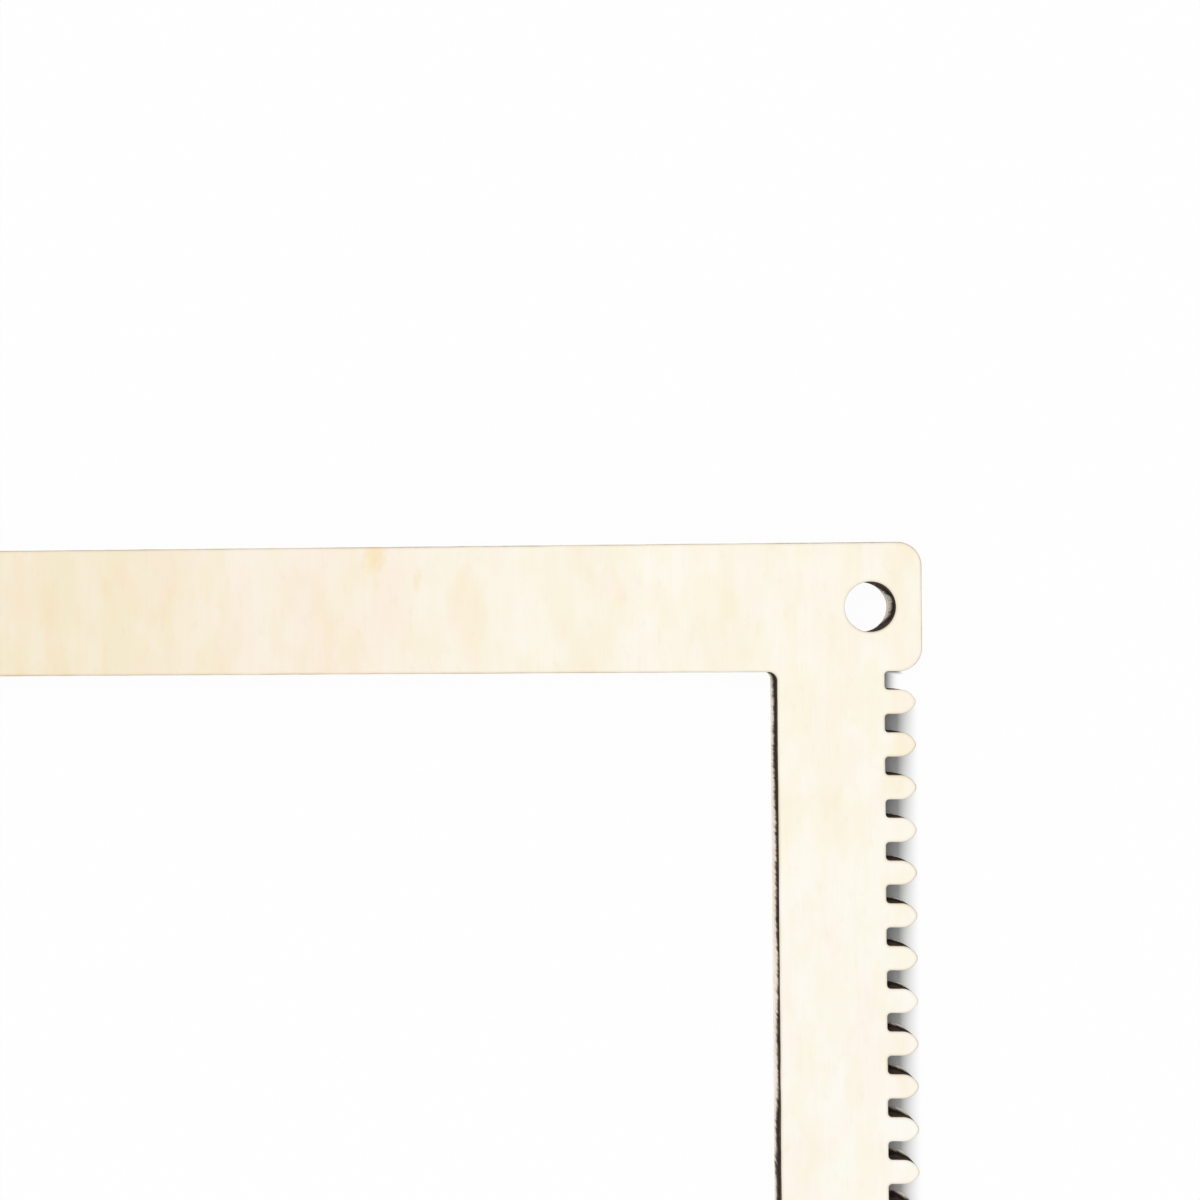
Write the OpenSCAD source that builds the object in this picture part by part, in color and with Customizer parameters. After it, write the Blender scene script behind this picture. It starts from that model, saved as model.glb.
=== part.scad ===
// Potholder loom: a flat square frame, laser cut in one outline from a sheet of three-layer plywood.
// The two side rails carry a row of teeth on their outer edge, and the loops are stretched between
// the two rows. The two end rails are plain, and each ends in blocks with a round hole.
// The back face lies on z = 0, the teeth point along +X and -X, and the origin is the centre of the back.

/* [Window] */
// Clear width of the window, between the two toothed rails
window_w = 159; // [80:1:300]
// Radius of the window's inside corners
window_corner_r = 1; // [0.5:0.1:4]

/* [Rails] */
// Width of a side rail, from the window to the bottom of its notches
side_rail_w = 12.45; // [8:0.05:30]
// Width of an end rail, from the window to the outer edge
end_rail_w = 15.2; // [12:0.1:30]
// Radius of the corners of the end rails' blocks
block_corner_r = 2.8; // [0.5:0.1:3]
// How far the corner blocks stand out past the tips of the teeth
block_step = 0.8; // [0.3:0.05:3]

/* [Teeth] */
// Number of notches in each side rail
notch_count = 33; // [11:1:61]
// Distance from one tooth to the next
tooth_pitch = 5; // [4:0.1:8]
// Width of a notch between two teeth
notch_w = 2.1; // [1.5:0.05:2.5]
// Depth of a notch, from its bottom to the tips of the teeth
notch_depth = 3.55; // [3:0.05:8]
// How far past the tooth's middle line the arc of each flank has its centre
flank_arc_offset = 0.475; // [0.2:0.025:1.5]
// Radius of the very tip of a tooth
tooth_tip_r = 0.7; // [0.3:0.05:0.8]
// Radius of the two corners at the bottom of a notch
notch_corner_r = 0.4; // [0.1:0.05:0.7]

/* [Corner holes] */
// Diameter of the hole in each corner block
hole_d = 5.85; // [3:0.05:7]
// Distance from the centre of the hole to the outer side of its block
hole_inset = 5.95; // [5:0.05:9]

/* [Plywood layers] */
// Thickness of each of the two outer veneers
face_veneer_t = 0.7; // [0.4:0.05:1.5]
// Thickness of the core veneer, whose grain runs across that of the outer ones
core_veneer_t = 1.4; // [0.6:0.05:3]
// Thickness of the glue between two veneers
glue_t = 0.1; // [0.05:0.01:0.2]

/* [Hidden] */

$fn = 96;

tooth_w = tooth_pitch - notch_w;
tooth_count = notch_count - 1;

// The centres of a tooth's two flank arcs lie level with the place where the flanks start to
// curve in towards the tip. The arcs run on into the round tip.
flank_arc_r = tooth_w / 2 + flank_arc_offset;
arc_to_tip = flank_arc_r - tooth_tip_r;
tip_centre = sqrt(arc_to_tip ^ 2 - flank_arc_offset ^ 2);
tip_join = tip_centre * flank_arc_r / arc_to_tip;

// The first notch starts level with the window's end, and the last one ends level with the other
window_h = notch_count * tooth_pitch - tooth_w;

notch_bottom_x = window_w / 2 + side_rail_w;
tooth_tip_x = notch_bottom_x + notch_depth;
flank_end_x = tooth_tip_x - tooth_tip_r - tip_centre;
board_w = 2 * (tooth_tip_x + block_step);

hole_x = board_w / 2 - hole_inset;
hole_y = window_h / 2 + end_rail_w / 2;

// Heights of the undersides of the layers, from the back up
back_glue_z = face_veneer_t;
core_z = back_glue_z + glue_t;
front_glue_z = core_z + core_veneer_t;
front_z = front_glue_z + glue_t;

// Rectangle about the origin with rounded corners
module rounded_rectangle(w, h, r) {
    square([w, h - 2 * r], center = true);
    square([w - 2 * r, h], center = true);
    for (x = [-1, 1], y = [-1, 1])
        translate([x * (w / 2 - r), y * (h / 2 - r)])
            circle(r = r);
}

// Plain rail across one end of the frame, with its two corner blocks
module end_rail() {
    rounded_rectangle(board_w, end_rail_w, block_corner_r);
}

// Notch that opens outwards at the right, with rounded corners at its bottom
module notch() {
    length = 2 * notch_depth;
    translate([notch_bottom_x + length / 2, 0])
        rounded_rectangle(length, notch_w, notch_corner_r);
}

// Y places of a row of count things, one pitch apart and centred on the window
function row(count) = [for (i = [0:count - 1]) (i - (count - 1) / 2) * tooth_pitch];

// Both side rails with the straight parts of their teeth
module side_rails() {
    difference() {
        square([2 * flank_end_x, window_h + end_rail_w], center = true);
        rounded_rectangle(window_w, window_h, window_corner_r);
        for (side = [0, 1], y = row(notch_count))
            mirror([side, 0])
                translate([0, y])
                    notch();
    }
}

// Pointed arch at the end of a tooth, with a small round tip
module tooth_tip() {
    intersection() {
        translate([0, -tooth_w / 2])
            square([tip_join, tooth_w]);
        translate([0, -flank_arc_offset])
            circle(r = flank_arc_r);
        translate([0, flank_arc_offset])
            circle(r = flank_arc_r);
    }
    translate([tip_centre, 0])
        circle(r = tooth_tip_r);
}

// The ends of all the teeth
module tooth_tips() {
    for (side = [0, 1], y = row(tooth_count))
        mirror([side, 0])
            translate([flank_end_x, y])
                tooth_tip();
}

// Outline that the laser cuts through every layer
module board_outline() {
    difference() {
        union() {
            side_rails();
            tooth_tips();
            for (end = [-1, 1])
                translate([0, end * (window_h / 2 + end_rail_w / 2)])
                    end_rail();
        }
        for (side = [-1, 1], end = [-1, 1])
            translate([side * hole_x, end * hole_y])
                circle(d = hole_d);
    }
}

// One layer of the board
module layer(underside_z, thickness) {
    translate([0, 0, underside_z])
        linear_extrude(thickness)
            board_outline();
}

module back_veneer() {
    color([0.93, 0.87, 0.76])
        layer(0, face_veneer_t);
}

module glue_line_back() {
    color([0.25, 0.16, 0.10])
        layer(back_glue_z, glue_t);
}

module core_veneer() {
    color([0.82, 0.70, 0.52])
        layer(core_z, core_veneer_t);
}

module glue_line_front() {
    color([0.25, 0.16, 0.10])
        layer(front_glue_z, glue_t);
}

module front_veneer() {
    color([0.99, 0.96, 0.89])
        layer(front_z, face_veneer_t);
}

back_veneer();
glue_line_back();
core_veneer();
glue_line_front();
front_veneer();
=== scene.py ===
# The looks of the potholder loom: each layer of the laser-cut plywood as its own dressed mesh,
# a white table, soft light, and a camera over the corner that the photograph shows.
import math

import bpy
import numpy as np
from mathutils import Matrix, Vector, noise
from mathutils.geometry import delaunay_2d_cdt


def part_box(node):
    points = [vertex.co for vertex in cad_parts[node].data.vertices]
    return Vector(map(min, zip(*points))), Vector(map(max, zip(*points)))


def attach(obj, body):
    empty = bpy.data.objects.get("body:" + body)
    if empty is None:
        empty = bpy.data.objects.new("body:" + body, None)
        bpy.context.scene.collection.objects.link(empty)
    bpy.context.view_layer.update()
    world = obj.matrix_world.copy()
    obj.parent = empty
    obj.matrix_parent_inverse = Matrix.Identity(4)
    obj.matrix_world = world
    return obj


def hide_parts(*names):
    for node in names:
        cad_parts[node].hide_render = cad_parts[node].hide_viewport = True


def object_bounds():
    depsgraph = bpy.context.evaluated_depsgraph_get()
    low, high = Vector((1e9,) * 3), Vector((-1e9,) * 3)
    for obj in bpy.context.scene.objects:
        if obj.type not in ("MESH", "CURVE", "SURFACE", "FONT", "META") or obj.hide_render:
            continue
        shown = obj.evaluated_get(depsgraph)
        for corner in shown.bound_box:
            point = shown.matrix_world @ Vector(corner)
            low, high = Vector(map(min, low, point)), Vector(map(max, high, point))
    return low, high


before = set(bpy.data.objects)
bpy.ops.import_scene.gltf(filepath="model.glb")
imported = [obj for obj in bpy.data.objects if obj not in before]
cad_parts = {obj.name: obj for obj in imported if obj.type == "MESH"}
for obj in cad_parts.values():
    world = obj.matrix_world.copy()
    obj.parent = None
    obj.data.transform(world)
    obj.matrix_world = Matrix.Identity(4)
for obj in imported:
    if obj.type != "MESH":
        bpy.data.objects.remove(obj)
cad_low, cad_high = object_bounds()

# Lengths of the outline in millimetres, as the construction has them
MM = 0.001
WINDOW_W = 159.0
WINDOW_CORNER_R = 1.0
SIDE_RAIL_W = 12.45
END_RAIL_W = 15.2
BLOCK_CORNER_R = 2.8
BLOCK_STEP = 0.8
NOTCH_COUNT = 33
TOOTH_PITCH = 5.0
NOTCH_W = 2.1
NOTCH_DEPTH = 3.55
NOTCH_CORNER_R = 0.4
FLANK_ARC_OFFSET = 0.475
TOOTH_TIP_R = 0.7
HOLE_R = 2.925
HOLE_INSET = 5.95

TOOTH_W = TOOTH_PITCH - NOTCH_W
WINDOW_H = NOTCH_COUNT * TOOTH_PITCH - TOOTH_W
NOTCH_BOTTOM_X = WINDOW_W / 2 + SIDE_RAIL_W
TOOTH_TIP_X = NOTCH_BOTTOM_X + NOTCH_DEPTH
HALF_W = TOOTH_TIP_X + BLOCK_STEP
HALF_H = WINDOW_H / 2 + END_RAIL_W
BOARD_T = (cad_high.z - cad_low.z) / MM

# The flanks of a tooth end in two large arcs, which a small one joins at the tip
FLANK_ARC_R = TOOTH_W / 2 + FLANK_ARC_OFFSET
TIP_CENTRE = math.sqrt((FLANK_ARC_R - TOOTH_TIP_R) ** 2 - FLANK_ARC_OFFSET ** 2)
TIP_ANGLE = math.degrees(math.atan2(FLANK_ARC_OFFSET, TIP_CENTRE))

# Spacing of the outline's points along straights and round arcs, the fewest steps of an arc, and
# the gap below which one arc runs straight on into the next
STRAIGHT_STEP = 0.5
ARC_STEP = 0.2
ARC_STEPS_LEAST = 3
NO_GAP = 1e-6

# Value of edge_mm on a wall. On a face it is the distance from the face's edge, in millimetres.
ON_WALL = -1.0

# Distances from the cut edge, on a face, of the rings that carry the scorch
FACE_RINGS = [0.5, 0.25, 0.12]

# Rings over an arris, as (distance in from the wall, depth below the face, edge_mm): the eased
# arris of a face that shows, and the arris between two layers
EASED_ARRIS = [(0.04, 0.0, 0.0), (0.012, 0.02, -0.1), (0.0, 0.06, -0.3)]
INNER_ARRIS = [(0.03, 0.0, ON_WALL), (0.0, 0.05, ON_WALL)]

# How far behind the veneers' walls the glue ends
GLUE_INSET = 0.05

# Turn between two faces, in degrees, above which their border stays sharp
SHARP_ANGLE = 50

# How deep the laser has burnt into a wall: the mean, and a slow wave and a ripple about it, with
# the size of their pattern along the wall and up it. RIPPLE_SHIFT keeps the two patterns apart.
BURN_DEPTH = 0.022
WAVE_DEPTH = 0.02
WAVE_LENGTH = 2.6
WAVE_HEIGHT = 8
RIPPLE_DEPTH = 0.012
RIPPLE_LENGTH = 0.9
RIPPLE_HEIGHT = 5
RIPPLE_SHIFT = 40


def srgb(red, green, blue):
    """Linear colour of a colour given as it looks, 0 to 255."""
    def linear(value):
        value /= 255
        return value / 12.92 if value <= 0.04045 else ((value + 0.055) / 1.055) ** 2.4
    return (linear(red), linear(green), linear(blue), 1.0)


# The outline, as arcs (x, y, radius, first angle, last angle) that straights join. A path keeps
# the material on its left, so an arc that turns left is a rounded corner, and one that turns
# right is a hollow.


def tooth_arcs(middle):
    """One tooth on the right side, from the bottom of the notch below it to the one above."""
    low = middle - TOOTH_W / 2
    high = middle + TOOTH_W / 2
    root_x = NOTCH_BOTTOM_X + NOTCH_CORNER_R
    flank_x = TOOTH_TIP_X - TOOTH_TIP_R - TIP_CENTRE
    return [
        (root_x, low - NOTCH_CORNER_R, NOTCH_CORNER_R, 180, 90),
        (flank_x, middle + FLANK_ARC_OFFSET, FLANK_ARC_R, -90, -TIP_ANGLE),
        (TOOTH_TIP_X - TOOTH_TIP_R, middle, TOOTH_TIP_R, -TIP_ANGLE, TIP_ANGLE),
        (flank_x, middle - FLANK_ARC_OFFSET, FLANK_ARC_R, TIP_ANGLE, 90),
        (root_x, high + NOTCH_CORNER_R, NOTCH_CORNER_R, 270, 180),
    ]


def right_side_arcs():
    """Everything up the right side, from the lower corner block to the upper one."""
    block_x = HALF_W - BLOCK_CORNER_R
    root_x = NOTCH_BOTTOM_X + NOTCH_CORNER_R
    end = WINDOW_H / 2
    arcs = [
        (block_x, -HALF_H + BLOCK_CORNER_R, BLOCK_CORNER_R, -90, 0),
        (block_x, -end - BLOCK_CORNER_R, BLOCK_CORNER_R, 0, 90),
        (root_x, -end + NOTCH_CORNER_R, NOTCH_CORNER_R, 270, 180),
    ]
    for tooth in range(NOTCH_COUNT - 1):
        arcs += tooth_arcs((tooth - (NOTCH_COUNT - 2) / 2) * TOOTH_PITCH)
    arcs += [
        (root_x, end - NOTCH_CORNER_R, NOTCH_CORNER_R, 180, 90),
        (block_x, end + BLOCK_CORNER_R, BLOCK_CORNER_R, -90, 0),
        (block_x, HALF_H - BLOCK_CORNER_R, BLOCK_CORNER_R, 0, 90),
    ]
    return arcs


def window_arcs():
    """The four corners of the window."""
    x = WINDOW_W / 2 - WINDOW_CORNER_R
    y = WINDOW_H / 2 - WINDOW_CORNER_R
    return [
        (x, y, WINDOW_CORNER_R, 90, 0),
        (x, -y, WINDOW_CORNER_R, 0, -90),
        (-x, -y, WINDOW_CORNER_R, -90, -180),
        (-x, y, WINDOW_CORNER_R, 180, 90),
    ]


def closed_path(arcs):
    """Points, outward normals and lengths along a closed path."""
    points, normals = [], []
    for i, (x, y, radius, first, last) in enumerate(arcs):
        side = math.copysign(1, last - first)
        length = math.radians(abs(last - first)) * radius
        steps = max(ARC_STEPS_LEAST, math.ceil(length / ARC_STEP))
        for angle in np.radians(np.linspace(first, last, steps + 1)):
            spoke = np.array([math.cos(angle), math.sin(angle)])
            points.append(np.array([x, y]) + spoke * radius)
            normals.append(spoke * side)
        next_x, next_y, next_radius, next_first, _ = arcs[(i + 1) % len(arcs)]
        angle = math.radians(next_first)
        spoke = np.array([math.cos(angle), math.sin(angle)])
        target = np.array([next_x, next_y]) + spoke * next_radius
        here = points[-1]
        gap = np.linalg.norm(target - here)
        if gap < NO_GAP:
            points.pop()
            normals.pop()
            continue
        pieces = math.ceil(gap / STRAIGHT_STEP)
        for k in range(1, pieces):
            points.append(here + (target - here) * k / pieces)
            normals.append(normals[-1])
    points = np.array(points)
    steps = np.linalg.norm(np.diff(points, axis=0, append=points[:1]), axis=1)
    along = np.concatenate([[0], np.cumsum(steps)[:-1]])
    return points, np.array(normals), along


def board_paths():
    """The outer path, the window's and the four holes'."""
    right = right_side_arcs()
    left = [(-x, -y, radius, first + 180, last + 180) for x, y, radius, first, last in right]
    hole_x = HALF_W - HOLE_INSET
    hole_y = WINDOW_H / 2 + END_RAIL_W / 2
    holes = [[(x, y, HOLE_R, 0, -360)] for x in (-hole_x, hole_x) for y in (-hole_y, hole_y)]
    return [closed_path(arcs) for arcs in [right + left, window_arcs()] + holes]


# The layers


def burn(x, y, z):
    """How far the laser has eaten into the wall at a place, in millimetres."""
    wave = noise.noise(Vector((x / WAVE_LENGTH, y / WAVE_LENGTH, z / WAVE_HEIGHT)))
    ripple_z = z / RIPPLE_HEIGHT + RIPPLE_SHIFT
    ripple = noise.noise(Vector((x / RIPPLE_LENGTH, y / RIPPLE_LENGTH, ripple_z)))
    return max(0.0, BURN_DEPTH + WAVE_DEPTH * wave + RIPPLE_DEPTH * ripple)


def cap_faces(vertices, loops, upward):
    """Triangles of a flat face.

    The first loop of vertex numbers is its outline, and the others are its holes. They are convex,
    so a triangle with all its corners on one of them would fill it, and is left out.
    """
    order = [index for loop in loops for index in loop]
    loop_of = [number for number, loop in enumerate(loops) for _ in loop]
    flat = [Vector(vertices[index][:2]) / MM for index in order]
    borders = []
    for loop in loops:
        start = len(borders)
        borders += [(start + k, start + (k + 1) % len(loop)) for k in range(len(loop))]
    inside_borders = 1
    same_place = 1e-5
    result = delaunay_2d_cdt(flat, borders, [], inside_borders, same_place)
    triangles, sources = result[2:4]
    faces = []
    for triangle in triangles:
        a, b, c = [sources[corner][0] for corner in triangle]
        if loop_of[a] > 0 and loop_of[a] == loop_of[b] == loop_of[c]:
            continue
        turns_left = (flat[b] - flat[a]).cross(flat[c] - flat[a]) > 0
        face = (order[a], order[b], order[c])
        faces.append(face if turns_left == upward else face[::-1])
    return faces


def layer_mesh(name, paths, rings):
    """Closed mesh of one layer.

    rings lists (inset, height, edge_mm) from the middle of the upper face, over the wall, to the
    middle of the lower face. The rings of FACE_RINGS, which lie on a face, aren't burnt back.
    """
    vertices, edges_mm, along_mm, faces = [], [], [], []
    top_loops, bottom_loops = [], []
    for points, normals, along in paths:
        count = len(points)
        first = len(vertices)
        for inset, height, edge in rings:
            for (x, y), (nx, ny), distance in zip(points, normals, along):
                depth = inset
                if edge < FACE_RINGS[-1]:
                    depth += burn(x, y, height)
                vertices.append(((x - nx * depth) * MM, (y - ny * depth) * MM, height * MM))
                edges_mm.append(edge)
                along_mm.append(distance)
        for ring in range(len(rings) - 1):
            upper = first + ring * count
            lower = upper + count
            for k in range(count):
                following = (k + 1) % count
                faces.append((upper + k, lower + k, lower + following, upper + following))
        top_loops.append(list(range(first, first + count)))
        last = first + (len(rings) - 1) * count
        bottom_loops.append(list(range(last, last + count)))
    faces += cap_faces(vertices, top_loops, True)
    faces += cap_faces(vertices, bottom_loops, False)
    mesh = bpy.data.meshes.new(name)
    mesh.from_pydata(vertices, [], faces)
    for label, values in (("edge_mm", edges_mm), ("along_mm", along_mm)):
        attribute = mesh.attributes.new(label, "FLOAT", "POINT")
        attribute.data.foreach_set("value", values)
    mesh.validate()
    mesh.shade_smooth()
    mesh.set_sharp_from_angle(angle=math.radians(SHARP_ANGLE))
    return mesh


def face_rings(height, inwards, shows):
    """Rings from a face over its arris. inwards is 1 if the layer lies above the face, else -1."""
    on_face = [(inset, height, inset) for inset in FACE_RINGS] if shows else []
    arris = EASED_ARRIS if shows else INNER_ARRIS
    return on_face + [(inset, height + inwards * depth, edge) for inset, depth, edge in arris]


def layer_rings(low, high, face_above, face_below):
    """Rings of one layer between two heights. A face that shows gets an eased, scorched edge."""
    upper = face_rings(high, -1, face_above)
    lower = face_rings(low, 1, face_below)
    return upper + [(0.0, (low + high) / 2, ON_WALL)] + lower[::-1]


def heights(node):
    """Lowest and highest place of a construction node, in millimetres."""
    low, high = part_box(node)
    return low.z / MM, high.z / MM


def place(name, node, mesh, material):
    """Puts a layer's dressed mesh in place of its construction node."""
    piece = bpy.data.objects.new(name, mesh)
    bpy.context.scene.collection.objects.link(piece)
    mesh.materials.append(material)
    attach(piece, "root")
    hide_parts(node)


# Shader helpers


class Shader:
    """A material or world whose nodes are added one call at a time."""

    def __init__(self, tree):
        self.tree = tree
        tree.nodes.clear()

    def set(self, socket, value):
        """Links the value to the socket if it is a socket too, and else writes it there."""
        if isinstance(value, bpy.types.NodeSocket):
            self.tree.links.new(value, socket)
        else:
            socket.default_value = value

    def add(self, kind, inputs=None, **settings):
        """New node with its settings and its inputs."""
        node = self.tree.nodes.new(kind)
        for key, value in settings.items():
            setattr(node, key, value)
        for key, value in (inputs or {}).items():
            self.set(node.inputs[key], value)
        return node

    def math(self, operation, first, second=0.0, clamp=False):
        inputs = {0: first, 1: second}
        return self.add("ShaderNodeMath", inputs, operation=operation, use_clamp=clamp).outputs[0]

    def scaled(self, vector, x, y, z):
        inputs = {0: vector, 1: (x, y, z)}
        return self.add("ShaderNodeVectorMath", inputs, operation="MULTIPLY").outputs[0]

    def noise(self, vector, scale, detail=2.0, roughness=0.5):
        inputs = {"Vector": vector, "Scale": scale, "Detail": detail, "Roughness": roughness}
        return self.add("ShaderNodeTexNoise", inputs).outputs["Fac"]

    def fade(self, value, start, end, low=0.0, high=1.0):
        """low up to start, high from end on, and smooth between them."""
        inputs = {"Value": value, "From Min": start, "From Max": end, "To Min": low, "To Max": high}
        return self.add("ShaderNodeMapRange", inputs, interpolation_type="SMOOTHSTEP").outputs[0]

    def mix(self, share, first, second, blend="MIX"):
        """Mix of two colours. share is how much of the second."""
        node = self.add("ShaderNodeMix", data_type="RGBA", blend_type=blend)
        self.set(node.inputs[0], share)
        self.set(node.inputs[6], first)
        self.set(node.inputs[7], second)
        return node.outputs[2]

    def ramp(self, value, stops):
        """Colour ramp over stops of (place, colour)."""
        node = self.add("ShaderNodeValToRGB", {"Fac": value})
        elements = node.color_ramp.elements
        while len(elements) > 1:
            elements.remove(elements[-1])
        elements[0].position, elements[0].color = stops[0]
        for position, colour in stops[1:]:
            elements.new(position).color = colour
        return node.outputs[0]

    def tinted(self, colour, pattern, start, end, most, tint):
        """The colour, multiplied by a tint where the pattern is strong."""
        share = self.fade(pattern, start, end, 0.0, most)
        return self.mix(share, colour, tint, "MULTIPLY")

    def attribute(self, name):
        return self.add("ShaderNodeAttribute", attribute_name=name).outputs["Fac"]


def new_material(name):
    """New material and the shader that builds it."""
    material = bpy.data.materials.new(name)
    material.use_nodes = True
    return material, Shader(material.node_tree)


def millimetres(shader):
    """Place on the board in millimetres, as a vector and as its three numbers."""
    place_m = shader.add("ShaderNodeTexCoord").outputs["Object"]
    place_mm = shader.scaled(place_m, 1 / MM, 1 / MM, 1 / MM)
    split = shader.add("ShaderNodeSeparateXYZ", {0: place_mm})
    return place_mm, split.outputs[0], split.outputs[1], split.outputs[2]


# Materials


# Tone of the front veneer across its grain: distance from the board's middle and colour. The
# front veneer is two strips of wood side by side, yellower to the left of the seam.
FRONT_BANDS = [
    (-HALF_W, srgb(250, 241, 222)),
    (-45, srgb(249, 239, 218)),
    (-5, srgb(248, 237, 214)),
    (10, srgb(250, 239, 218)),
    (16, srgb(252, 243, 229)),
    (35, srgb(253, 244, 230)),
    (50, srgb(254, 249, 235)),
    (59, srgb(254, 247, 232)),
    (65, srgb(255, 251, 239)),
    (HALF_W, srgb(255, 251, 239)),
]

# Tone of the core and of the back veneer across their grain
PLAIN_BANDS = [
    (-HALF_W, srgb(249, 239, 219)),
    (-50, srgb(246, 235, 212)),
    (-10, srgb(250, 241, 223)),
    (40, srgb(247, 236, 215)),
    (HALF_W, srgb(250, 240, 221)),
]

# Resin spots of the front veneer: place, radius and strength
RESIN_SPOTS = [
    (32.1, 95.2, 1.2, 1.0),
    (37.4, 92.3, 0.5, 0.6),
]

# How far the char goes down a plain wall past the wall's middle, as a share of the thickness
PLAIN_CHAR = 0.35

# The same on a tooth's flank, in the notch and at the tip, and the distances from the bottom of
# the notch where that changes. More char in the notch is painted shade, and less at the tip is
# painted light.
NOTCH_CHAR_AND_SHADING = (0.42, -0.1)
NOTCH_SHADING_END = (1.0, 2.7)

# The same in a hole, on the sides that face across and on those that face along the toothed
# rails, the distances from its middle where that changes, and how far out the hole's wall counts.
# Less char on the sides that face across is painted light, where the lamp falls on them.
HOLE_CHAR_AND_SHADING = (-0.08, 0.38)
HOLE_SHADING_CHANGE = (0.3 * HOLE_R, 0.8 * HOLE_R)
HOLE_REACH = 1.1 * HOLE_R

# The same on the window's long sides, near the middle of the board, further on and near the
# corners, and the distances from the middle where that changes
WINDOW_CHAR = (0.2, -0.17, 0.05)
WINDOW_CHAR_MIDDLE = (25, 32)
WINDOW_CHAR_CORNER = (60, 68)

# The wood is paler along the middle of the toothed rails: the distances from the board's middle
# between which that ends, the paler colour and its share
PALE_MIDDLE = (45, 66)
PALE_WOOD = srgb(255, 253, 249)
PALER = 0.5

# How far the borders of the bands of tone wander, in broad drifts and from one fibre to another
BAND_DRIFT = 2.0
BAND_WAVER = 0.8

# Size across the grain, as a share of the length along it, of the fibres, the mottling and the
# resin spots
GRAIN_STRETCH = 0.04
MOTTLE_STRETCH = 0.45
RESIN_STRETCH = 0.55

# Share of a step up a wall that counts for its streaks, so that they run up and down it
STREAK_STRETCH = 0.12

# How much the streaks and the broader patches raise and lower the char
UNEVEN_CHAR = 0.1

# Between which shares of its radius a resin spot fades away, and how ragged its border is
RESIN_FADE = (0.2, 1.6)
RESIN_RAGGED = 0.35

# Value of edge_mm at which an eased arris is charred like the wall
FULL_CHAR_EDGE = EASED_ARRIS[-1][2]

# Widths on the face of the brown line at a cut and of the fainter scorch there
LINE_W = 0.18
SCORCH_W = 0.42

# How far in from the board's outer edges the stronger scorch counts as theirs
OUTER_MARGIN = 1.0


def from_notch_bottom(shader, x_mm):
    """Distance outwards from the bottom of the notches, in millimetres."""
    return shader.math("SUBTRACT", shader.math("ABSOLUTE", x_mm), NOTCH_BOTTOM_X)


def inside_window_end(shader, y_mm):
    """Distance from the line of the window's nearer end, above zero level with the window."""
    return shader.math("SUBTRACT", WINDOW_H / 2, shader.math("ABSOLUTE", y_mm))


def notch_char_and_shading(shader, x_mm, y_mm, elsewhere):
    """Depth of the char on a tooth's flank: most in the notch, as painted shade, least at the tip,
    as painted light.
    """
    outwards = from_notch_bottom(shader, x_mm)
    # Painted shade deep in the notch, fading to painted light at the tooth's tip
    change = shader.fade(outwards, *NOTCH_SHADING_END, *NOTCH_CHAR_AND_SHADING)
    on_teeth = shader.math("GREATER_THAN", outwards, -NOTCH_CORNER_R)
    beside_window = shader.math("GREATER_THAN", inside_window_end(shader, y_mm), NOTCH_W / 2)
    there = shader.math("MULTIPLY", on_teeth, beside_window)
    return shader.fade(there, 0.0, 1.0, elsewhere, change)


def hole_char_and_shading(shader, x_mm, y_mm, elsewhere):
    """Depth of the char in the corner holes, with painted light on the sides that face across."""
    hole_x = HALF_W - HOLE_INSET
    hole_y = WINDOW_H / 2 + END_RAIL_W / 2
    away_x = shader.math("SUBTRACT", shader.math("ABSOLUTE", x_mm), hole_x)
    away_y = shader.math("SUBTRACT", shader.math("ABSOLUTE", y_mm), hole_y)
    away = shader.add("ShaderNodeCombineXYZ", {0: away_x, 1: away_y}).outputs[0]
    distance = shader.add("ShaderNodeVectorMath", {0: away}, operation="LENGTH").outputs[1]
    in_hole = shader.math("LESS_THAN", distance, HOLE_REACH)
    # Painted light on the sides that face across, plain char on those that face along the rails
    change = shader.fade(shader.math("ABSOLUTE", away_y), *HOLE_SHADING_CHANGE, *HOLE_CHAR_AND_SHADING)
    return shader.fade(in_hole, 0.0, 1.0, elsewhere, change)


def window_char(shader, x_mm, y_mm, elsewhere):
    """Depth of the char on the window's two long sides."""
    in_middle, further, near_corner = WINDOW_CHAR
    from_middle = shader.math("ABSOLUTE", y_mm)
    change = shader.fade(from_middle, *WINDOW_CHAR_MIDDLE, in_middle, further)
    rise = shader.fade(from_middle, *WINDOW_CHAR_CORNER, 0.0, near_corner - further)
    change = shader.math("ADD", change, rise)
    from_side = shader.math("ADD", from_notch_bottom(shader, x_mm), SIDE_RAIL_W)
    near_side = shader.math("LESS_THAN", shader.math("ABSOLUTE", from_side), WINDOW_CORNER_R)
    in_window = shader.math("GREATER_THAN", inside_window_end(shader, y_mm), 0.0)
    on_side = shader.math("MULTIPLY", near_side, in_window)
    return shader.fade(on_side, 0.0, 1.0, elsewhere, change)


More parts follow.
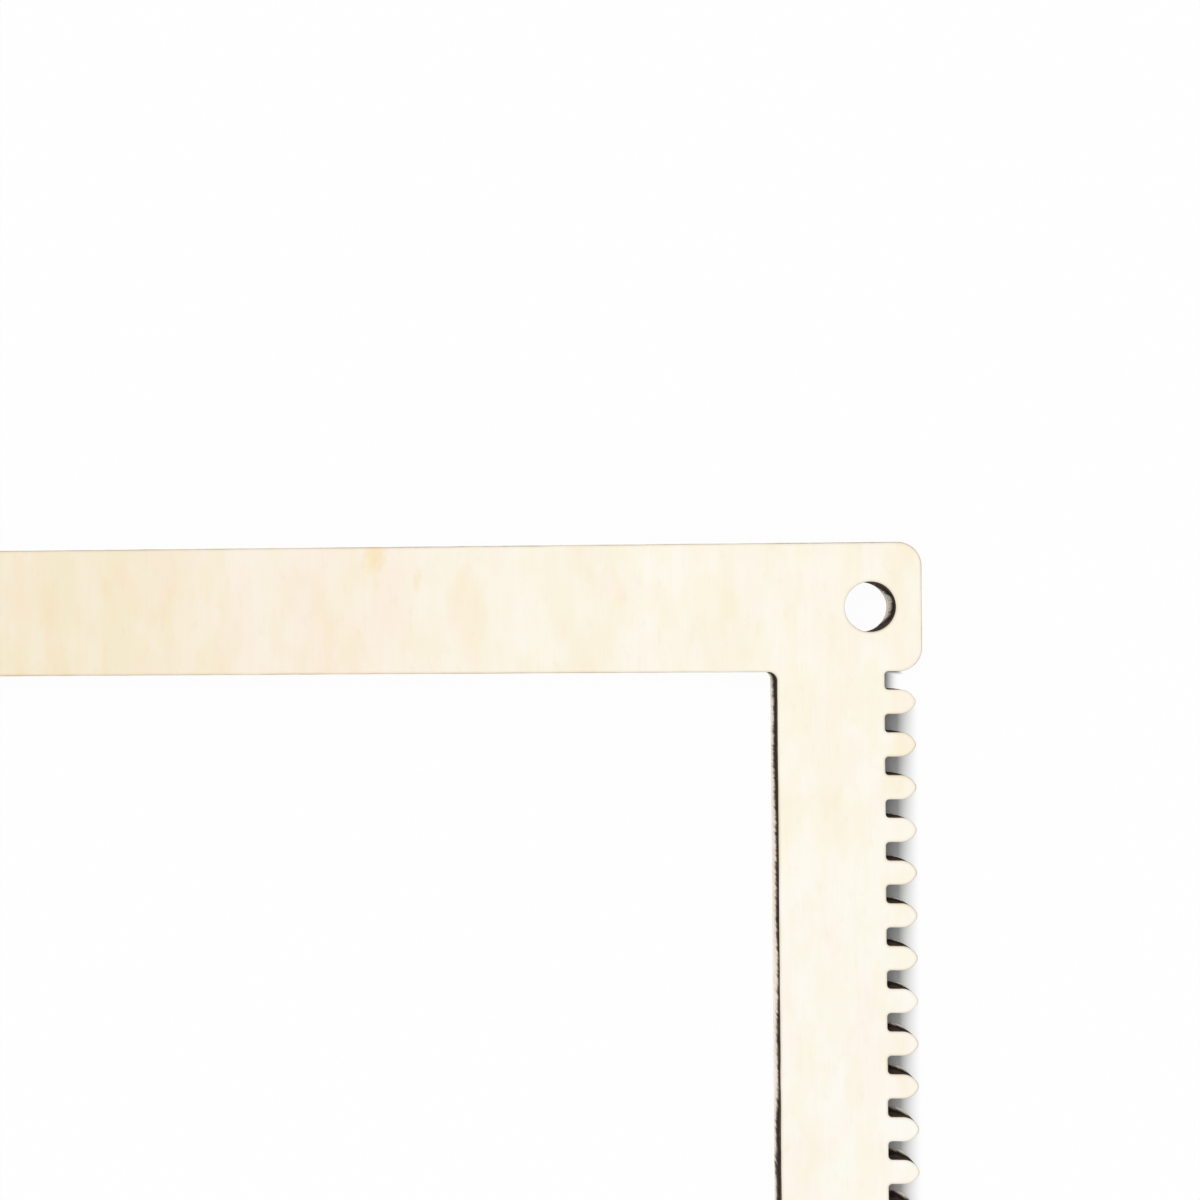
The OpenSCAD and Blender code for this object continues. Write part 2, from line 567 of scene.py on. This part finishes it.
def charred_and_shaded_wall(shader, place_mm, x_mm, y_mm, z_mm):
    """Colour of a wall that the laser has charred, darkest under the front face, with painted light
    and shade on the teeth's flanks and in the holes.
    """
    along = shader.attribute("along_mm")
    lengthened = shader.math("MULTIPLY", z_mm, STREAK_STRETCH)
    streak_place = shader.add("ShaderNodeCombineXYZ", {0: along, 1: lengthened})
    streaks = shader.noise(streak_place.outputs[0], 2.4, 4.0, 0.6)
    patches = shader.noise(place_mm, 0.22, 2.0)
    tone = shader.math("DIVIDE", z_mm, BOARD_T)
    for pattern in (streaks, patches):
        uneven = shader.fade(pattern, 0.3, 0.7, -UNEVEN_CHAR, UNEVEN_CHAR)
        tone = shader.math("ADD", tone, uneven)
    # Painted shade in the notches, painted light at the teeth's tips and on the holes' sides that
    # face across
    char = notch_char_and_shading(shader, x_mm, y_mm, PLAIN_CHAR)
    char = hole_char_and_shading(shader, x_mm, y_mm, char)
    char = window_char(shader, x_mm, y_mm, char)
    tone = shader.math("ADD", tone, char)
    return shader.ramp(tone, [
        (0.0, srgb(252, 245, 236)),
        (0.3, srgb(236, 223, 206)),
        (0.43, srgb(164, 148, 132)),
        (0.53, srgb(84, 72, 61)),
        (0.64, srgb(36, 31, 27)),
        (0.88, srgb(34, 29, 25)),
        (1.0, srgb(74, 60, 48)),
    ])


# Tints of the veneer's layers of pattern, which multiply its colour
WIDE_TINT = srgb(255, 249, 238)
FINE_TINT = srgb(253, 247, 236)
PINK_TINT = srgb(255, 250, 247)
GREEN_TINT = srgb(253, 252, 243)
SPECK_TINT = srgb(251, 249, 245)
RESIN_TINT = srgb(253, 246, 224)
SCORCH_TINT = srgb(236, 229, 220)
LINE_COLOUR = srgb(150, 122, 96)


def along_grain(shader, vector, grain_along_y, stretch):
    """The vector with its steps along the grain shortened, so that a pattern grows longer there."""
    factors = (1, stretch, 1) if grain_along_y else (stretch, 1, 1)
    return shader.scaled(vector, *factors)


def veneer_tone(shader, x_mm, y_mm, moved, grain, bands, grain_along_y):
    """Bands of tone across the grain, with wandering borders."""
    across = x_mm if grain_along_y else y_mm
    drift = shader.noise(shader.scaled(moved, 0.5, 0.5, 1), 0.06, 1.0)
    wander = shader.fade(drift, 0.2, 0.8, -BAND_DRIFT, BAND_DRIFT)
    across = shader.math("ADD", across, wander)
    waver = shader.noise(grain, 0.9, 3.0)
    wander = shader.fade(waver, 0.25, 0.75, -BAND_WAVER, BAND_WAVER)
    across = shader.math("ADD", across, wander)
    inputs = {"Value": across, "From Min": -HALF_W, "From Max": HALF_W}
    share = shader.add("ShaderNodeMapRange", inputs).outputs[0]
    stops = [((distance + HALF_W) / (2 * HALF_W), tone) for distance, tone in bands]
    paler = shader.fade(shader.math("ABSOLUTE", y_mm), *PALE_MIDDLE, PALER, 0.0)
    return shader.mix(paler, shader.ramp(share, stops), PALE_WOOD)


def resin_spot(shader, colour, place_mm, spot):
    """A yellow spot of resin in the veneer, longer along the grain."""
    x, y, radius, strength = spot
    inputs = {0: place_mm, 1: (x, y, 0)}
    away = shader.add("ShaderNodeVectorMath", inputs, operation="SUBTRACT").outputs[0]
    flat = shader.scaled(away, 1, RESIN_STRETCH, 0)
    distance = shader.add("ShaderNodeVectorMath", {0: flat}, operation="LENGTH").outputs[1]
    ragged = shader.noise(place_mm, 0.9, 2.0)
    ragged = shader.fade(ragged, 0.3, 0.7, -RESIN_RAGGED, RESIN_RAGGED)
    distance = shader.math("ADD", distance, ragged)
    start, end = RESIN_FADE
    share = shader.fade(distance, start * radius, end * radius, strength, 0.0)
    return shader.mix(share, colour, RESIN_TINT, "MULTIPLY")


def scorched(shader, colour, place_mm, x_mm, y_mm, edge):
    """The face's colour with its scorch and the brown line along the cut, stronger outside."""
    patches = shader.noise(place_mm, 0.16, 2.0)
    scorch = shader.fade(edge, 0.0, SCORCH_W, 1.0, 0.0)
    scorch = shader.math("MULTIPLY", scorch, shader.fade(patches, 0.3, 0.7, 0.45, 1.0))
    colour = shader.mix(scorch, colour, SCORCH_TINT, "MULTIPLY")
    past_side = shader.math("SUBTRACT", shader.math("ABSOLUTE", x_mm), HALF_W - OUTER_MARGIN)
    past_end = shader.math("SUBTRACT", shader.math("ABSOLUTE", y_mm), HALF_H - OUTER_MARGIN)
    outer = shader.math("GREATER_THAN", shader.math("MAXIMUM", past_side, past_end), 0.0)
    bits = shader.noise(place_mm, 0.5, 3.0, 0.6)
    outer = shader.math("MULTIPLY", outer, shader.fade(bits, 0.5, 0.68, 0.2, 0.5))
    strength = shader.math("ADD", outer, shader.fade(patches, 0.3, 0.7, 0.1, 0.35))
    line = shader.math("MULTIPLY", shader.fade(edge, 0.0, LINE_W, 1.0, 0.0), strength)
    return shader.mix(line, colour, LINE_COLOUR)


def wood_material(name, bands, spots, grain_along_y, seed):
    """Pale sanded veneer, scorched along the cut. seed moves its patterns in the sheet."""
    material, shader = new_material(name)
    place_mm, x_mm, y_mm, z_mm = millimetres(shader)
    edge = shader.attribute("edge_mm")
    inputs = {0: place_mm, 1: (seed, seed, 0)}
    moved = shader.add("ShaderNodeVectorMath", inputs, operation="ADD").outputs[0]
    grain = along_grain(shader, moved, grain_along_y, GRAIN_STRETCH)
    mottle = along_grain(shader, moved, grain_along_y, MOTTLE_STRETCH)

    fine = shader.noise(grain, 3.2, 4.0, 0.65)
    wide = shader.noise(grain, 0.45, 3.0, 0.55)
    pink = shader.noise(mottle, 0.2, 2.0, 0.6)
    green = shader.noise(shader.scaled(mottle, -1, 1, 1), 0.26, 2.0, 0.6)
    specks = shader.noise(mottle, 1.1, 2.0)

    colour = veneer_tone(shader, x_mm, y_mm, moved, grain, bands, grain_along_y)
    colour = shader.tinted(colour, wide, 0.35, 0.75, 0.3, WIDE_TINT)
    colour = shader.tinted(colour, fine, 0.45, 0.75, 0.25, FINE_TINT)
    colour = shader.tinted(colour, pink, 0.42, 0.62, 0.75, PINK_TINT)
    colour = shader.tinted(colour, green, 0.42, 0.62, 0.75, GREEN_TINT)
    colour = shader.tinted(colour, specks, 0.58, 0.74, 0.5, SPECK_TINT)
    for spot in spots:
        colour = resin_spot(shader, colour, place_mm, spot)
    colour = scorched(shader, colour, place_mm, x_mm, y_mm, edge)
    # Charred wall colour, with painted light and shade on the flanks and in the holes
    charred = charred_and_shaded_wall(shader, place_mm, x_mm, y_mm, z_mm)
    colour = shader.mix(shader.fade(edge, FULL_CHAR_EDGE, 0.0, 1.0, 0.0), colour, charred)

    bump = shader.add("ShaderNodeBump", {"Height": fine, "Strength": 0.12, "Distance": 0.00004})
    surface = shader.add("ShaderNodeBsdfPrincipled", {
        "Base Color": colour,
        "Roughness": shader.fade(fine, 0.2, 0.8, 0.7, 0.82),
        "Specular IOR Level": 0.12,
        "Normal": bump.outputs[0],
    })
    shader.add("ShaderNodeOutputMaterial", {"Surface": surface.outputs[0]})
    return material


def glue_material():
    """Glue between the veneers, burnt black and a little glossy where it was cut."""
    material, shader = new_material("burnt_glue")
    place_mm, _, _, _ = millimetres(shader)
    spots = shader.noise(place_mm, 1.6, 3.0)
    colour = shader.ramp(spots, [(0.3, srgb(30, 24, 20)), (0.7, srgb(62, 50, 40))])
    surface = shader.add("ShaderNodeBsdfPrincipled", {
        "Base Color": colour,
        "Roughness": shader.fade(spots, 0.3, 0.7, 0.35, 0.55),
    })
    shader.add("ShaderNodeOutputMaterial", {"Surface": surface.outputs[0]})
    return material


def make_board():
    """The three veneers and the two films of glue between them."""
    paths = board_paths()
    face = wood_material("front_veneer_wood", FRONT_BANDS, RESIN_SPOTS, grain_along_y=True, seed=0)
    core = wood_material("core_veneer_wood", PLAIN_BANDS, [], grain_along_y=False, seed=37)
    back = wood_material("back_veneer_wood", PLAIN_BANDS, [], grain_along_y=True, seed=81)
    glue = glue_material()
    for name, node, material, above, below in (
        ("front_ply", "front_veneer", face, True, False),
        ("core_ply", "core_veneer", core, False, False),
        ("back_ply", "back_veneer", back, False, True),
    ):
        low, high = heights(node)
        rings = layer_rings(low, high, above, below)
        place(name, node, layer_mesh(name, paths, rings), material)
    for name, node in (("front_glue", "glue_line_front"), ("back_glue", "glue_line_back")):
        low, high = heights(node)
        rings = [(GLUE_INSET, high, ON_WALL), (GLUE_INSET, low, ON_WALL)]
        place(name, node, layer_mesh(name, paths, rings), glue)


# The table, the light and the camera


# Half the width of the table and its thickness, in metres, and the gap that keeps the board's back
# face off it
TABLE_HALF = 3.0
TABLE_T = 0.03
TABLE_GAP = 0.00002

# Share of white that the camera sees on the open table, the rest being the table's own colour,
# and that colour in the open and where the notches shade it
TABLE_WHITE = 0.96
TABLE_COLOUR = srgb(241, 241, 241)
SHADED_TABLE_COLOUR = srgb(176, 178, 178)

# Distances out from the bottom of a notch between which its shade on the table fades to white
SHADE_OF_NOTCH = (2.5, 4.95)

# The first and the last notch have only a line of shade: the distances between which it ends, out
# from the notch's bottom and in from the block, and where the block's shade ends further out
END_NOTCH_LINE = (0.9, 2.8)
END_BLOCK_LINE = (0.1, 0.6)
SHADE_OF_BLOCK = (2.4, 3.4)

# Light that the room gives, as a share of white, and the lamp's strength, its size in the sky and
# its turn from straight above, in degrees
ROOM_LIGHT = 0.8
LAMP_STRENGTH = 0.75
LAMP_ANGLE = 35
LAMP_TURN = (-18, -34, 0)


def open_table(shader):
    """1 where the table is white to the camera, 0 where the notches shade it."""
    _, x_mm, y_mm, _ = millimetres(shader)
    from_root = from_notch_bottom(shader, x_mm)
    below_end = inside_window_end(shader, y_mm)
    first, last = SHADE_OF_NOTCH
    past_start = shader.math("SUBTRACT", from_root, first)
    faded = shader.math("DIVIDE", past_start, last - first, clamp=True)
    in_window = shader.math("LESS_THAN", from_root, -SIDE_RAIL_W / 2)
    past_line = shader.fade(from_root, *END_NOTCH_LINE)
    past_line = shader.math("MINIMUM", past_line, shader.fade(below_end, *END_BLOCK_LINE))
    past_line = shader.math("MAXIMUM", past_line, shader.fade(from_root, *SHADE_OF_BLOCK))
    by_end_notch = shader.math("LESS_THAN", below_end, NOTCH_W + TOOTH_W / 2)
    by_end_notch = shader.math("MULTIPLY", by_end_notch, past_line)
    past_end = shader.math("LESS_THAN", below_end, 0.0)
    bright = shader.math("MAXIMUM", faded, in_window)
    bright = shader.math("MAXIMUM", bright, by_end_notch)
    return shader.math("MAXIMUM", bright, past_end)


def table_material(name, shaded):
    """White to the camera and in reflections, and an ordinary pale surface to the light."""
    material, shader = new_material(name)
    path = shader.add("ShaderNodeLightPath").outputs
    seen = shader.math("MAXIMUM", path["Is Camera Ray"], path["Is Glossy Ray"])
    share = shader.math("MULTIPLY", seen, TABLE_WHITE)
    tone = TABLE_COLOUR
    if shaded:
        bright = open_table(shader)
        share = shader.math("MULTIPLY", share, bright)
        tone = shader.mix(bright, SHADED_TABLE_COLOUR, TABLE_COLOUR)
    plain = shader.add("ShaderNodeBsdfDiffuse", {"Color": tone})
    glow = shader.add("ShaderNodeEmission", {"Color": (1, 1, 1, 1), "Strength": 1.0})
    both = shader.add("ShaderNodeMixShader", {0: share, 1: plain.outputs[0], 2: glow.outputs[0]})
    shader.add("ShaderNodeOutputMaterial", {"Surface": both.outputs[0]})
    return material


def make_table():
    """Table top with the shade of the notches on it, and its plain underside."""
    corners = [(-1, -1), (1, -1), (1, 1), (-1, 1)]
    vertices = [(x * TABLE_HALF, y * TABLE_HALF, z) for z in (0, -TABLE_T) for x, y in corners]
    mesh = bpy.data.meshes.new("table")
    mesh.from_pydata(vertices, [], [(0, 1, 2, 3), (7, 6, 5, 4)])
    mesh.materials.append(table_material("white_table", True))
    mesh.materials.append(table_material("table_underside", False))
    mesh.polygons[1].material_index = 1
    table = bpy.data.objects.new("table", mesh)
    bpy.context.scene.collection.objects.link(table)
    table.location.z = cad_low.z - TABLE_GAP


def make_light():
    """Even white light from all round, and a soft lamp from the upper left."""
    world = bpy.data.worlds.new("soft_room")
    bpy.context.scene.world = world
    world.use_nodes = True
    shader = Shader(world.node_tree)
    path = shader.add("ShaderNodeLightPath").outputs
    seen = shader.math("MAXIMUM", path["Is Camera Ray"], path["Is Transmission Ray"])
    strength = shader.fade(seen, 0.0, 1.0, ROOM_LIGHT, 1.0)
    glow = shader.add("ShaderNodeBackground", {"Color": (1, 1, 1, 1), "Strength": strength})
    shader.add("ShaderNodeOutputWorld", {"Surface": glow.outputs[0]})
    lamp = bpy.data.lights.new("window_light", "SUN")
    lamp.energy = LAMP_STRENGTH
    lamp.angle = math.radians(LAMP_ANGLE)
    holder = bpy.data.objects.new("window_light", lamp)
    holder.rotation_euler = [math.radians(angle) for angle in LAMP_TURN]
    bpy.context.scene.collection.objects.link(holder)


# Where the camera stands in millimetres, measured from the right side and the top edge of the
# board and from its back, how it is turned in degrees, and how the photograph was cropped
CAMERA_FROM_SIDE = 55.77
CAMERA_FROM_TOP = 8.78
CAMERA_HEIGHT = 140.75
CAMERA_TURN = (0.113, 2.466, -0.432)
CAMERA_LENS = 34.68
CAMERA_SENSOR_W = 36
CAMERA_SHIFT = (0.1707, 0.0148)

# Nearest and furthest distance that the camera sees, in metres
CAMERA_SEES = (0.01, 20)


def make_camera():
    """Camera nearly straight above the corner, as the photograph was taken."""
    data = bpy.data.cameras.new("camera")
    data.sensor_width = CAMERA_SENSOR_W
    data.lens = CAMERA_LENS
    data.shift_x, data.shift_y = CAMERA_SHIFT
    data.clip_start, data.clip_end = CAMERA_SEES
    camera = bpy.data.objects.new("camera", data)
    camera.location = (
        (HALF_W - CAMERA_FROM_SIDE) * MM,
        (HALF_H - CAMERA_FROM_TOP) * MM,
        CAMERA_HEIGHT * MM,
    )
    camera.rotation_euler = [math.radians(angle) for angle in CAMERA_TURN]
    bpy.context.scene.collection.objects.link(camera)
    bpy.context.scene.camera = camera


bpy.context.scene.view_settings.view_transform = "Standard"
make_camera()
make_board()
make_table()
make_light()
